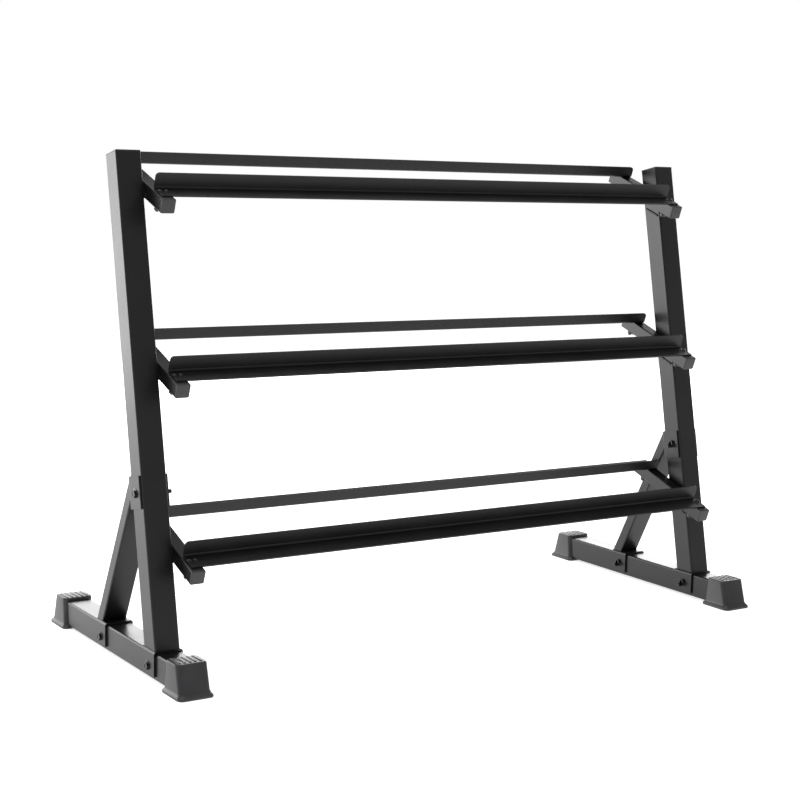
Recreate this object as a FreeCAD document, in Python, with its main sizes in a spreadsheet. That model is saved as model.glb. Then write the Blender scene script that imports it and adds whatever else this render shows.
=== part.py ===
"""Three-tier dumbbell rack: two leaning end frames joined by six angle-iron rails.

X runs along the rack, -Y is the front and +Z is up. The origin is on the floor, in the middle
of the footprint. Lengths are millimetres and angles are degrees.
"""
import FreeCAD, Part
import math
import os
import Sketcher

Vector = FreeCAD.Vector

# Driving dimensions: alias, number, meaning.
SIZES = [
    ("frame_span", 1358.0, "outside to outside of the two uprights"),
    ("base_length", 570.0, "length of a base tube, front to back"),
    ("upright_length", 912.0, "length of an upright along its centre line"),
    ("upright_lean", 11.1, "backward lean of the uprights"),
    ("upright_offset", 162.0, "upright's foot, forward of the middle of the base"),
    ("tube_size", 50.0, "side of the square main tube"),
    ("tube_wall", 2.0, "wall of the main tube"),
    ("tube_corner", 4.0, "outside corner radius of the main tube"),
    ("base_clearance", 5.0, "floor to the underside of the base tube"),
    ("plate", 4.0, "thickness of the saddles and brackets"),
    ("plate_fold", 1.5, "inside radius of the folds of the saddles and brackets"),
    ("saddle_lip", 7.5, "height by which a saddle's sides stop short of the tube's underside"),
    ("upright_saddle_length", 56.0, "saddle under an upright, front to back"),
    ("brace_saddle_length", 48.0, "saddle under a brace, front to back"),
    ("brace_saddle_offset", 59.0, "middle of the brace's saddle, behind the middle of the base"),
    ("brace_set_back", 11.0, "brace's foot, behind the middle of its saddle"),
    ("brace_depth", 25.0, "brace tube, front to back"),
    ("brace_wall", 1.8, "wall of the brace tube"),
    ("brace_corner", 3.0, "outside corner radius of the brace tube"),
    ("brace_rise", 11.5, "brace's head, above the middle of its bracket"),
    ("bracket_station", 285.0, "middle of the brace's bracket, along the upright"),
    ("bracket_height", 61.0, "height of the brace's bracket"),
    ("bracket_reach", 20.0, "bracket's sides, forward of the upright's centre line"),
    ("arm_width", 28.0, "support arm, along the rack"),
    ("arm_height", 28.0, "support arm, top to bottom"),
    ("arm_wall", 1.8, "wall of a support arm"),
    ("arm_corner", 3.0, "outside corner radius of a support arm"),
    ("arm_front_overhang", 8.0, "support arm's tube, past the front rail's flat leg"),
    ("arm_rear_overhang", 0.5, "support arm's tube, past the rear rail's flat leg"),
    ("arm_slope", 20.0, "slope of the arms, down towards the front"),
    ("bottom_station", 196.5, "bottom arm's top face, along the upright"),
    ("top_drop", 41.5, "top arm's top face, below the upright's top end"),
    ("rail_gap", 129.0, "clear gap between the two lips of a tier"),
    ("rail_leg", 42.5, "width of a rail's flat leg"),
    ("front_lip", 31.5, "height of a front rail's lip"),
    ("rear_lip", 25.0, "height of a rear rail's lip"),
    ("rail_thickness", 3.0, "thickness of the rails"),
    ("rail_fold", 3.0, "inside radius of a rail's fold"),
    ("rail_end_gap", 5.0, "rail's end to the upright"),
    ("rail_end_round", 7.5, "radius at the ends of a rail's lip"),
    ("rail_bolt_inset", 19.5, "rail bolt, from the heel of its rail"),
    ("rail_bolt_first", 9.0, "outer rail bolt, from the upright"),
    ("rail_bolt_spacing", 12.0, "distance between the two bolts at a rail's end"),
    ("cap_head", 3.0, "thickness of an upright cap's head"),
    ("plug_head", 4.0, "thickness of an arm plug's head"),
    ("head_round", 1.2, "edge radius of the heads of caps and plugs"),
    ("skirt_depth", 14.0, "depth that caps and plugs reach into their tube"),
    ("skirt_wall", 2.0, "wall of a cap's or plug's skirt"),
    ("skirt_clearance", 0.2, "gap between a skirt and the inside of its tube"),
    ("foot_wall", 6.0, "wall of a foot around the base tube"),
    ("foot_grip", 44.0, "length of base tube inside a foot, at its top"),
    ("foot_heel", 6.0, "further reach of a foot's open end at the floor"),
    ("foot_toe", 16.0, "further reach of a foot's closed end at the floor"),
    ("foot_spread", 0.5, "further reach of each side of a foot at the floor"),
    ("foot_corner", 10.0, "radius of a foot's upright corners"),
    ("foot_round", 2.5, "bevel round a foot's top face"),
    ("flange_height", 4.5, "height of the flange round the foot's base"),
    ("flange_toe", 4.5, "flange, beyond the foot's closed end"),
    ("flange_side", 4.0, "flange, beyond the foot's sides and open end"),
    ("socket_relief", 1.0, "a foot's socket has corners sharper than the tube's by this"),
    ("frame_bolt_radius", 4.0, "frame bolt's shank"),
    ("frame_bolt_flats", 13.0, "frame bolt's head and nut, across flats"),
    ("frame_bolt_head", 5.3, "height of a frame bolt's head"),
    ("frame_nut_height", 6.8, "height of a frame bolt's nut"),
    ("frame_washer_radius", 8.0, "radius of a frame bolt's washer"),
    ("frame_washer_height", 1.6, "thickness of a frame bolt's washer"),
    ("rail_bolt_radius", 3.0, "rail bolt's shank"),
    ("rail_bolt_dome", 5.0, "radius of a rail bolt's domed head"),
    ("rail_bolt_head", 3.0, "height of a rail bolt's domed head"),
    ("rail_nut_flats", 10.0, "rail bolt's nut, across flats"),
    ("rail_nut_height", 5.0, "height of a rail bolt's nut"),
    ("rail_washer_radius", 5.5, "radius of a rail bolt's washer"),
    ("rail_washer_height", 1.2, "thickness of a rail bolt's washer"),
    ("thread_showing", 2.5, "thread left standing past a nut"),
    ("thread_clearance", 0.15, "gap between a shank and its nut or washer"),
    ("hole_clearance", 0.4, "gap between a shank and the hole that it passes through"),
]

doc = FreeCAD.newDocument("DumbbellRack")
sheet = doc.addObject("Spreadsheet::Sheet", "Sizes")
for row, (alias, number, meaning) in enumerate(SIZES, start=1):
    sheet.set(f"A{row}", meaning)
    sheet.set(f"B{row}", str(number))
    sheet.setAlias(f"B{row}", alias)
doc.recompute()

SIDES = {"left": -1, "right": 1}
# How far along X the rails' bolts and the arms lie, and the heights on the base.
UPRIGHT_FACE = "(Sizes.frame_span / 2 - Sizes.tube_size)"
FRAME_MIDDLE = "(Sizes.frame_span / 2 - Sizes.tube_size / 2)"
ARM_MIDDLE = f"({UPRIGHT_FACE} - Sizes.arm_width / 2)"
RAIL_LENGTH = f"(2 * ({UPRIGHT_FACE} - Sizes.rail_end_gap))"
OUTER_BOLT = f"({UPRIGHT_FACE} - Sizes.rail_bolt_first)"
INNER_BOLT = f"({OUTER_BOLT} - Sizes.rail_bolt_spacing)"
RAIL_BOLT_REACH = "(Sizes.rail_gap / 2 + Sizes.rail_bolt_inset)"
ARM_FRONT = "(Sizes.rail_gap / 2 + Sizes.rail_leg + Sizes.arm_front_overhang)"
ARM_REAR = "(Sizes.rail_gap / 2 + Sizes.rail_leg + Sizes.arm_rear_overhang)"
BASE_MIDDLE = "(Sizes.base_clearance + Sizes.tube_size / 2)"
SADDLE_TOP = "(Sizes.base_clearance + Sizes.tube_size + Sizes.plate)"
# Each tier is known by where its arms' top face crosses the upright's centre line.
TOP_STATION = "(Sizes.upright_length - Sizes.top_drop)"
TIERS = {
    "bottom": "Sizes.bottom_station",
    "middle": f"(({TOP_STATION} + Sizes.bottom_station) / 2)",
    "top": TOP_STATION,
}
# Each row of rails: which way its flat leg points from the heel, the height of its lip, and how
# far the arms reach that way.
ROWS = {"front": (-1, "Sizes.front_lip", ARM_FRONT), "rear": (1, "Sizes.rear_lip", ARM_REAR)}

nodes = []
cuts = []


def value(expression):
    """Present number of an expression."""
    result = sheet.evalExpression(expression)
    return float(getattr(result, "Value", result))


def on_upright(along, behind="0"):
    """Y and Z of a point along an upright's centre line and squarely behind it."""
    y = f"(({along}) * sin(Sizes.upright_lean) + ({behind}) * cos(Sizes.upright_lean))"
    z = f"(({along}) * cos(Sizes.upright_lean) - ({behind}) * sin(Sizes.upright_lean))"
    return f"({y} - Sizes.upright_offset)", f"({SADDLE_TOP} + {z})"


def on_arm(tier, along, above="0"):
    """Y and Z of a point up an arm's slope from the upright and squarely above its top face."""
    foot_y, foot_z = on_upright(TIERS[tier])
    y = f"({foot_y} + ({along}) * cos(Sizes.arm_slope) - ({above}) * sin(Sizes.arm_slope))"
    z = f"({foot_z} + ({along}) * sin(Sizes.arm_slope) + ({above}) * cos(Sizes.arm_slope))"
    return y, z


# The brace stands on its saddle and its head meets the back of the bracket.
BRACE_FOOT = "(Sizes.brace_saddle_offset + Sizes.brace_set_back)"
BRACKET_BACK = "(Sizes.tube_size / 2 + Sizes.plate)"
BRACE_HEAD = on_upright("(Sizes.bracket_station + Sizes.brace_rise)", BRACKET_BACK)
BRACE_RUN = f"({BRACE_FOOT} - {BRACE_HEAD[0]})"
BRACE_CLIMB = f"({BRACE_HEAD[1]} - {SADDLE_TOP})"
BRACE_TILT = f"(atan({BRACE_RUN} / {BRACE_CLIMB}) / 1deg)"
BRACE_LENGTH = f"sqrt({BRACE_RUN} ^ 2 + {BRACE_CLIMB} ^ 2)"

# Turns about X: the lean of the uprights, the slope of the rails, and along an arm's length.
LEAN_TURN = "(-Sizes.upright_lean)"
SLOPE_TURN = "Sizes.arm_slope"
ARM_TURN = "(Sizes.arm_slope - 90)"


def place(item, x, yz, turn="0", axis="1; 0; 0"):
    """Bind an object's position and turn to expressions."""
    move = f"vector({x}; {yz[0]}; {yz[1]})"
    item.setExpression("Placement", f"placement({move}; rotation(vector({axis}); {turn}))")


def keep(item, label):
    """Label a finished sub-part and list it for export."""
    item.Label = label
    nodes.append(item)


def new_sketch(body, name, role, lift="0", slide="0"):
    """Attach a sketch to an origin plane of its body, lifted off it and slid along it."""
    plane = next(feature for feature in body.Origin.OriginFeatures if feature.Role == role)
    sketch = body.newObject("Sketcher::SketchObject", name)
    sketch.AttachmentSupport = [(plane, "")]
    sketch.MapMode = "FlatFace"
    sketch.setExpression("AttachmentOffset.Base.y", slide)
    sketch.setExpression("AttachmentOffset.Base.z", lift)
    return sketch


def dimension(sketch, name, expression, *constraint):
    """Add a named constraint and bind it to an expression."""
    index = sketch.addConstraint(Sketcher.Constraint(*constraint, value(expression)))
    sketch.renameConstraint(index, name)
    sketch.setExpression(f"Constraints.{name}", expression)


def pin(sketch, name, geometry, point, across, up):
    """Hold a point of a sketch at a place given by two expressions, on an axis where one is 0."""
    for kind, axis, expression in (("DistanceX", -2, across), ("DistanceY", -1, up)):
        if expression == "0":
            sketch.addConstraint(Sketcher.Constraint("PointOnObject", geometry, point, axis))
        else:
            dimension(sketch, f"{name}_{kind}", expression, kind, -1, 1, geometry, point)


def draw_polygon(sketch, corners):
    """Draw a closed outline through corners given as pairs of expressions."""
    points = [Vector(value(across), value(up), 0) for across, up in corners]
    for start, end in zip(points, points[1:] + points[:1]):
        sketch.addGeometry(Part.LineSegment(start, end), False)
    for index, (across, up) in enumerate(corners):
        before = (index - 1) % len(corners)
        sketch.addConstraint(Sketcher.Constraint("Coincident", before, 2, index, 1))
        pin(sketch, f"corner_{index}", index, 1, across, up)


def draw_circle(sketch, name, across, up, radius):
    """Draw a circle about a place given by two expressions."""
    centre = Vector(value(across), value(up), 0)
    index = sketch.addGeometry(Part.Circle(centre, Vector(0, 0, 1), value(radius)), False)
    pin(sketch, name, index, 3, across, up)
    dimension(sketch, f"{name}_radius", radius, "Radius", index)


def draw_rounded(sketch, name, width, depth, radius):
    """Draw a rectangle with rounded corners about a sketch's origin."""
    first = sketch.GeometryCount
    corner = value(radius)
    across = value(width) / 2 - corner
    up = value(depth) / 2 - corner
    centres = [Vector(across, -up), Vector(across, up), Vector(-across, up), Vector(-across, -up)]
    for quarter, centre in enumerate(centres):
        start = (quarter - 1) * math.pi / 2
        end = start + math.pi / 2
        out = Vector(math.cos(end), math.sin(end)) * corner
        circle = Part.Circle(centre, Vector(0, 0, 1), corner)
        sketch.addGeometry(Part.ArcOfCircle(circle, start, end), False)
        sketch.addGeometry(Part.LineSegment(centre + out, centres[(quarter + 1) % 4] + out), False)
    for quarter, direction in enumerate(("Vertical", "Horizontal", "Vertical", "Horizontal")):
        arc = first + 2 * quarter
        next_arc = first + (2 * quarter + 2) % 8
        sketch.addConstraint(Sketcher.Constraint("Tangent", arc, 2, arc + 1, 1))
        sketch.addConstraint(Sketcher.Constraint("Tangent", arc + 1, 2, next_arc, 1))
        sketch.addConstraint(Sketcher.Constraint(direction, arc + 1))
        if quarter:
            sketch.addConstraint(Sketcher.Constraint("Equal", first, arc))
    sketch.addConstraint(Sketcher.Constraint("Symmetric", first + 1, 1, first + 5, 1, -1, 1))
    dimension(sketch, f"{name}_radius", radius, "Radius", first)
    dimension(sketch, f"{name}_width", width, "DistanceX", first + 5, 1, first + 1, 1)
    dimension(sketch, f"{name}_depth", depth, "DistanceY", first + 7, 1, first + 3, 1)


def pad(body, name, sketch, length, middle=False, backwards=False):
    """Pad a sketch to one side of its plane, or half to each side."""
    feature = body.newObject("PartDesign::Pad", name)
    feature.Profile = sketch
    feature.setExpression("Length", length)
    feature.Midplane = middle
    feature.Reversed = backwards


def cut_through(body, name, sketch, middle=True):
    """Cut a sketch right through a body, to both sides of its plane or to the far one only."""
    feature = body.newObject("PartDesign::Pocket", name)
    feature.Profile = sketch
    feature.Type = "ThroughAll"
    feature.Midplane = middle
    cuts.append(feature)


def drill(body, role, places, shank):
    """Drill clearance holes for a shank, square to an origin plane, through a body."""
    sketch = new_sketch(body, "holes", role)
    for number, (across, up) in enumerate(places):
        draw_circle(sketch, f"hole_{number}", across, up, f"({shank} + Sizes.hole_clearance)")
    cut_through(body, "drilling", sketch)


def round_edges(body, name, radius, chosen):
    """Fillet the edges that lie on the places given: each place is a set of coordinates."""
    doc.recompute()
    base = body.Tip
    picked = []
    for number, edge in enumerate(base.Shape.Edges, start=1):
        for coordinates in chosen:
            if all(abs(getattr(vertex.Point, axis) - value(expression)) < 1e-4
                   for vertex in edge.Vertexes for axis, expression in coordinates.items()):
                picked.append(f"Edge{number}")
    if not picked:
        raise RuntimeError(f"{body.Name}: no edge found for {name}")
    feature = body.newObject("PartDesign::Fillet", name)
    feature.Base = (base, picked)
    feature.setExpression("Radius", radius)


def draw_tube_section(sketch, width, depth, wall, corner):
    """Draw a hollow tube's section: the outside and the inside, each with rounded corners."""
    draw_rounded(sketch, "outside", width, depth, corner)
    draw_rounded(sketch, "inside", f"({width} - 2 * {wall})", f"({depth} - 2 * {wall})",
                 f"({corner} - {wall})")


def make_tube(body, width, depth, wall, corner, length, spare="0"):
    """Pad a hollow tube up from a body's origin, with spare length to be cut off past its ends."""
    section = new_sketch(body, "section", "XY_Plane", f"(-{spare})")
    draw_tube_section(section, width, depth, wall, corner)
    pad(body, "tube", section, f"({length} + 2 * {spare})")


def mitre(body, name, depth, at, slope, side):
    """Cut a tube off along a slanting line across its depth, on the side above or below it."""
    far = f"({at} + {side} * 3 * {depth})"
    sketch = new_sketch(body, f"{name}_line", "YZ_Plane")
    draw_polygon(sketch, [
        (f"(-{depth})", f"({at} - {depth} * {slope})"), (depth, f"({at} + {depth} * {slope})"),
        (depth, far), (f"(-{depth})", far),
    ])
    cut_through(body, name, sketch)


def make_base_tube(name, x):
    """Square tube along the floor, front to back, drilled for its two saddles."""
    body = doc.addObject("PartDesign::Body", name)
    make_tube(body, "Sizes.tube_size", "Sizes.tube_size", "Sizes.tube_wall", "Sizes.tube_corner",
              "Sizes.base_length")
    drill(body, "YZ_Plane", [("0", "(Sizes.base_length / 2 + Sizes.upright_offset)"),
                             ("0", "(Sizes.base_length / 2 - Sizes.brace_saddle_offset)")],
          "Sizes.frame_bolt_radius")
    place(body, x, ("(Sizes.base_length / 2)", BASE_MIDDLE), "90")
    keep(body, name)


def make_upright(name, x):
    """Leaning square tube, cut level at its foot and square at its head."""
    body = doc.addObject("PartDesign::Body", name)
    side = "Sizes.tube_size"
    make_tube(body, side, side, "Sizes.tube_wall", "Sizes.tube_corner", "Sizes.upright_length", side)
    mitre(body, "level_foot", side, "0", "tan(Sizes.upright_lean)", "-1")
    mitre(body, "square_head", side, "Sizes.upright_length", "0", "1")
    drill(body, "YZ_Plane", [("0", "Sizes.bracket_station")], "Sizes.frame_bolt_radius")
    place(body, x, on_upright("0"), LEAN_TURN)
    keep(body, name)


def make_brace(name, x):
    """Flat tube from the rear saddle up to the back of the bracket, mitred at both ends."""
    body = doc.addObject("PartDesign::Body", name)
    depth = "Sizes.brace_depth"
    make_tube(body, "Sizes.tube_size", depth, "Sizes.brace_wall", "Sizes.brace_corner",
              BRACE_LENGTH, f"(2 * {depth})")
    mitre(body, "level_foot", depth, "0", f"(-tan({BRACE_TILT}))", "-1")
    mitre(body, "head", depth, BRACE_LENGTH, f"(1 / tan(Sizes.upright_lean + {BRACE_TILT}))", "1")
    place(body, x, (BRACE_FOOT, SADDLE_TOP), BRACE_TILT)
    keep(body, name)


def make_channel(name, length, reach, x, yz, turn):
    """U-shaped plate that wraps the main tube on three sides, with one bolt through its sides."""
    body = doc.addObject("PartDesign::Body", name)
    inside = "(Sizes.tube_size / 2)"
    outside = f"({inside} + Sizes.plate)"
    outline = new_sketch(body, "outline", "XY_Plane")
    draw_polygon(outline, [
        (f"(-{outside})", f"(-{reach})"), (f"(-{inside})", f"(-{reach})"),
        (f"(-{inside})", inside), (inside, inside),
        (inside, f"(-{reach})"), (outside, f"(-{reach})"),
        (outside, outside), (f"(-{outside})", outside),
    ])
    pad(body, "plate", outline, length, middle=True)
    round_edges(body, "inner_folds", "Sizes.plate_fold",
                [{"x": inside, "y": inside}, {"x": f"-{inside}", "y": inside}])
    round_edges(body, "outer_folds", "Sizes.plate_fold + Sizes.plate",
                [{"x": outside, "y": outside}, {"x": f"-{outside}", "y": outside}])
    drill(body, "YZ_Plane", [("0", "0")], "Sizes.frame_bolt_radius")
    place(body, x, yz, turn)
    keep(body, name)


def make_arm(name, tier, side):
    """Sloping tube welded to an upright's inner face, drilled for the rails' bolts."""
    body = doc.addObject("PartDesign::Body", name)
    make_tube(body, "Sizes.arm_width", "Sizes.arm_height", "Sizes.arm_wall", "Sizes.arm_corner",
              f"({ARM_FRONT} + {ARM_REAR})")
    places = []
    for reach in (f"(-{RAIL_BOLT_REACH})", RAIL_BOLT_REACH):
        for bolt in (OUTER_BOLT, INNER_BOLT):
            across = f"({side} * ({bolt} - {ARM_MIDDLE}))"
            places.append((across, f"({ARM_FRONT} + {reach})"))
    drill(body, "XZ_Plane", places, "Sizes.rail_bolt_radius")
    front_end = on_arm(tier, f"(-{ARM_FRONT})", "(-Sizes.arm_height / 2)")
    place(body, f"({side} * {ARM_MIDDLE})", front_end, ARM_TURN)
    keep(body, name)


def make_plug(name, width, depth, wall, corner, head, x, yz, turn):
    """Plastic plug for a tube's end: a rounded head outside and a hollow skirt inside."""
    body = doc.addObject("PartDesign::Body", name)
    outline = new_sketch(body, "outline", "XY_Plane")
    draw_rounded(outline, "head", width, depth, corner)
    pad(body, "head", outline, head)
    skirt = new_sketch(body, "skirt_section", "XY_Plane")
    inset = f"({wall} + Sizes.skirt_clearance)"
    draw_tube_section(skirt, f"({width} - 2 * {inset})", f"({depth} - 2 * {inset})",
                      "Sizes.skirt_wall", "(Sizes.skirt_wall + Sizes.skirt_clearance)")
    pad(body, "skirt", skirt, "Sizes.skirt_depth", backwards=True)
    round_edges(body, "rounding", "Sizes.head_round", [{"z": head}])
    place(body, x, yz, turn)
    keep(body, name)


def make_rail(name, tier, row):
    """Angle-iron rail with its flat leg on the arms and its lip standing at the inner edge."""
    body = doc.addObject("PartDesign::Body", name)
    direction, lip, _ = ROWS[row]
    inner = f"({direction} * Sizes.rail_thickness)"
    outer = f"({direction} * Sizes.rail_leg)"
    outline = new_sketch(body, "outline", "YZ_Plane")
    draw_polygon(outline, [
        ("0", "0"), (outer, "0"), (outer, "Sizes.rail_thickness"),
        (inner, "Sizes.rail_thickness"), (inner, lip), ("0", lip),
    ])
    pad(body, "angle", outline, RAIL_LENGTH, middle=True)
    round_edges(body, "inner_fold", "Sizes.rail_fold", [{"y": inner, "z": "Sizes.rail_thickness"}])
    round_edges(body, "outer_fold", "Sizes.rail_fold + Sizes.rail_thickness", [{"y": "0", "z": "0"}])
    round_edges(body, "lip_ends", "Sizes.rail_end_round",
                [{"x": f"{end} * {RAIL_LENGTH} / 2", "z": lip} for end in ("-1", "1")])
    inset = f"({direction} * Sizes.rail_bolt_inset)"
    drill(body, "XY_Plane", [(f"({side} * {bolt})", inset) for side in SIDES.values()
                             for bolt in (OUTER_BOLT, INNER_BOLT)], "Sizes.rail_bolt_radius")
    place(body, "0", on_arm(tier, f"({direction} * Sizes.rail_gap / 2)"), SLOPE_TURN)
    keep(body, name)


def make_foot(name, x, end):
    """Moulded foot over a base tube's end, wider and longer at the floor, with a low flange."""
    body = doc.addObject("PartDesign::Body", name)
    top = "(Sizes.base_clearance + Sizes.tube_size + Sizes.foot_wall)"
    width = "(Sizes.tube_size + 2 * Sizes.foot_wall)"
    length = "(Sizes.foot_grip + Sizes.foot_wall)"
    middle = "((Sizes.foot_grip - Sizes.foot_wall) / 2)"
    floor_width = f"({width} + 2 * Sizes.foot_spread)"
    floor_length = f"({length} + Sizes.foot_heel + Sizes.foot_toe)"
    floor_middle = f"({middle} + (Sizes.foot_heel - Sizes.foot_toe) / 2)"
    floor_outline = new_sketch(body, "floor_outline", "XY_Plane", "0", floor_middle)
    draw_rounded(floor_outline, "floor", floor_width, floor_length, "Sizes.foot_corner")
    shoulder = new_sketch(body, "shoulder_outline", "XY_Plane", f"({top} - Sizes.foot_round)", middle)
    draw_rounded(shoulder, "shoulder", width, length, "Sizes.foot_corner")
    top_outline = new_sketch(body, "top_outline", "XY_Plane", top, middle)
    draw_rounded(top_outline, "top", f"({width} - 2 * Sizes.foot_round)",
                 f"({length} - 2 * Sizes.foot_round)", "(Sizes.foot_corner - Sizes.foot_round)")
    shell = body.newObject("PartDesign::AdditiveLoft", "shell")
    shell.Profile = floor_outline
    shell.Sections = [shoulder, top_outline]
    shell.Ruled = True
    flange_middle = f"({floor_middle} + (Sizes.flange_side - Sizes.flange_toe) / 2)"
    flange = new_sketch(body, "flange_outline", "XY_Plane", "0", flange_middle)
    draw_rounded(flange, "flange", f"({floor_width} + 2 * Sizes.flange_side)",
                 f"({floor_length} + Sizes.flange_side + Sizes.flange_toe)",
                 "(Sizes.foot_corner + Sizes.flange_side)")
    pad(body, "flange", flange, "Sizes.flange_height")
    socket = new_sketch(body, "socket_section", "XZ_Plane", "0", BASE_MIDDLE)
    draw_rounded(socket, "socket", "Sizes.tube_size", "Sizes.tube_size",
                 "(Sizes.tube_corner - Sizes.socket_relief)")
    cut_through(body, "socket", socket, middle=False)
    place(body, x, (f"({end} * Sizes.base_length / 2)", "0"), f"(90 + {end} * 90)", "0; 0; 1")
    keep(body, name)


def make_shank(name, radius, length):
    """Shank of a bolt, hanging below the plane under its head."""
    shank = doc.addObject("Part::Cylinder", name)
    shank.setExpression("Radius", radius)
    shank.setExpression("Height", length)
    shank.setExpression("Placement.Base.z", f"-{length}")
    return shank


def make_hexagon(name, flats, height):
    """Six-sided block of a hexagon head or nut, standing on its plane."""
    block = doc.addObject("Part::Prism", name)
    block.Polygon = 6
    block.setExpression("Circumradius", f"{flats} / sqrt(3)")
    block.setExpression("Height", height)
    return block


def join(name, shapes):
    """Fuse a bolt's head and shank."""
    fused = doc.addObject("Part::MultiFuse", name)
    fused.Shapes = shapes
    fused.Refine = True
    return fused


def bored(name, blank, shank):
    """Bore a nut's or washer's blank for a shank."""
    bore = doc.addObject("Part::Cylinder", f"{name}_bore")
    bore.setExpression("Radius", f"{shank} + Sizes.thread_clearance")
    bore.setExpression("Height", f"{blank.Name}.Height")
    piece = doc.addObject("Part::Cut", name)
    piece.Base = blank
    piece.Tool = bore
    return piece


def make_washer(name, radius, height, shank):
    """Flat washer, standing on its plane."""
    disc = doc.addObject("Part::Cylinder", f"{name}_disc")
    disc.setExpression("Radius", radius)
    disc.setExpression("Height", height)
    return bored(name, disc, shank)


def group(label, pattern, places):
    """Gather copies of one fastener, each at its own position and turn, as one sub-part."""
    copies = []
    for number, (x, yz, turn, axis) in enumerate(places, start=1):
        copy = doc.addObject("App::Link", f"{label}_{number}")
        copy.LinkedObject = pattern
        place(copy, x, yz, turn, axis)
        copies.append(copy)
    gathered = doc.addObject("Part::Compound", label)
    gathered.Links = copies
    keep(gathered, label)


def build_frame(side_name, side):
    """Build one end frame: base, feet, upright, brace, plates, arms and end plugs."""
    x = f"({side} * {FRAME_MIDDLE})"
    saddle_reach = "(Sizes.tube_size / 2 - Sizes.saddle_lip)"
    make_base_tube(f"{side_name}_base_tube", x)
    make_foot(f"{side_name}_front_foot", x, -1)
    make_foot(f"{side_name}_rear_foot", x, 1)
    make_upright(f"{side_name}_upright", x)
    make_brace(f"{side_name}_rear_brace", x)
    make_channel(f"{side_name}_upright_saddle", "Sizes.upright_saddle_length", saddle_reach, x,
                 ("(-Sizes.upright_offset)", BASE_MIDDLE), "90")
    make_channel(f"{side_name}_brace_saddle", "Sizes.brace_saddle_length", saddle_reach, x,
                 ("Sizes.brace_saddle_offset", BASE_MIDDLE), "90")
    make_channel(f"{side_name}_brace_bracket", "Sizes.bracket_height", "Sizes.bracket_reach", x,
                 on_upright("Sizes.bracket_station"), LEAN_TURN)
    make_plug(f"{side_name}_upright_cap", "Sizes.tube_size", "Sizes.tube_size", "Sizes.tube_wall",
              "Sizes.tube_corner", "Sizes.cap_head", x, on_upright("Sizes.upright_length"), LEAN_TURN)
    for tier in TIERS:
        make_arm(f"{side_name}_{tier}_arm", tier, side)
        for row, (direction, _, reach) in ROWS.items():
            end = on_arm(tier, f"({direction} * {reach})", "(-Sizes.arm_height / 2)")
            make_plug(f"{side_name}_{tier}_{row}_plug", "Sizes.arm_width", "Sizes.arm_height",
                      "Sizes.arm_wall", "Sizes.arm_corner", "Sizes.plug_head",
                      f"({side} * {ARM_MIDDLE})", end, f"({ARM_TURN} + 90 - {direction} * 90)")


def build_frame_fasteners(side_name, side, bolt, washer, nut):
    """Bolt each saddle and the bracket through their tubes, with a washer on each face."""
    centres = [("(-Sizes.upright_offset)", BASE_MIDDLE), ("Sizes.brace_saddle_offset", BASE_MIDDLE),
               on_upright("Sizes.bracket_station")]
    half = "(Sizes.tube_size / 2 + Sizes.plate)"
    outward = f"({side} * 90)"
    inward = f"({side} * -90)"
    across = "0; 1; 0"
    outer_face = f"({side} * ({FRAME_MIDDLE} + {half}))"
    under_head = f"({side} * ({FRAME_MIDDLE} + {half} + Sizes.frame_washer_height))"
    inner_face = f"({side} * ({FRAME_MIDDLE} - {half}))"
    under_nut = f"({side} * ({FRAME_MIDDLE} - {half} - Sizes.frame_washer_height))"
    group(f"{side_name}_frame_bolts", bolt, [(under_head, centre, outward, across) for centre in centres])
    washers = []
    for centre in centres:
        washers.append((outer_face, centre, outward, across))
        washers.append((inner_face, centre, inward, across))
    group(f"{side_name}_frame_washers", washer, washers)
    group(f"{side_name}_frame_nuts", nut, [(under_nut, centre, inward, across) for centre in centres])


def build_rail_fasteners(tier, bolt, washer, nut):
    """Bolt the rails of a tier down through the arms, with a washer and nut underneath."""
    spots = []
    for side in SIDES.values():
        for distance in (OUTER_BOLT, INNER_BOLT):
            for direction, _, _ in ROWS.values():
                spots.append((f"({side} * {distance})", f"({direction} * {RAIL_BOLT_REACH})"))
    along = "1; 0; 0"
    under_arm = "(-Sizes.arm_height)"
    under_washer = "(-Sizes.arm_height - Sizes.rail_washer_height)"
    over = f"({SLOPE_TURN} + 180)"
    group(f"{tier}_rail_bolts", bolt,
          [(x, on_arm(tier, reach, "Sizes.rail_thickness"), SLOPE_TURN, along) for x, reach in spots])
    group(f"{tier}_rail_washers", washer,
          [(x, on_arm(tier, reach, under_arm), over, along) for x, reach in spots])
    group(f"{tier}_rail_nuts", nut,
          [(x, on_arm(tier, reach, under_washer), over, along) for x, reach in spots])


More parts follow.
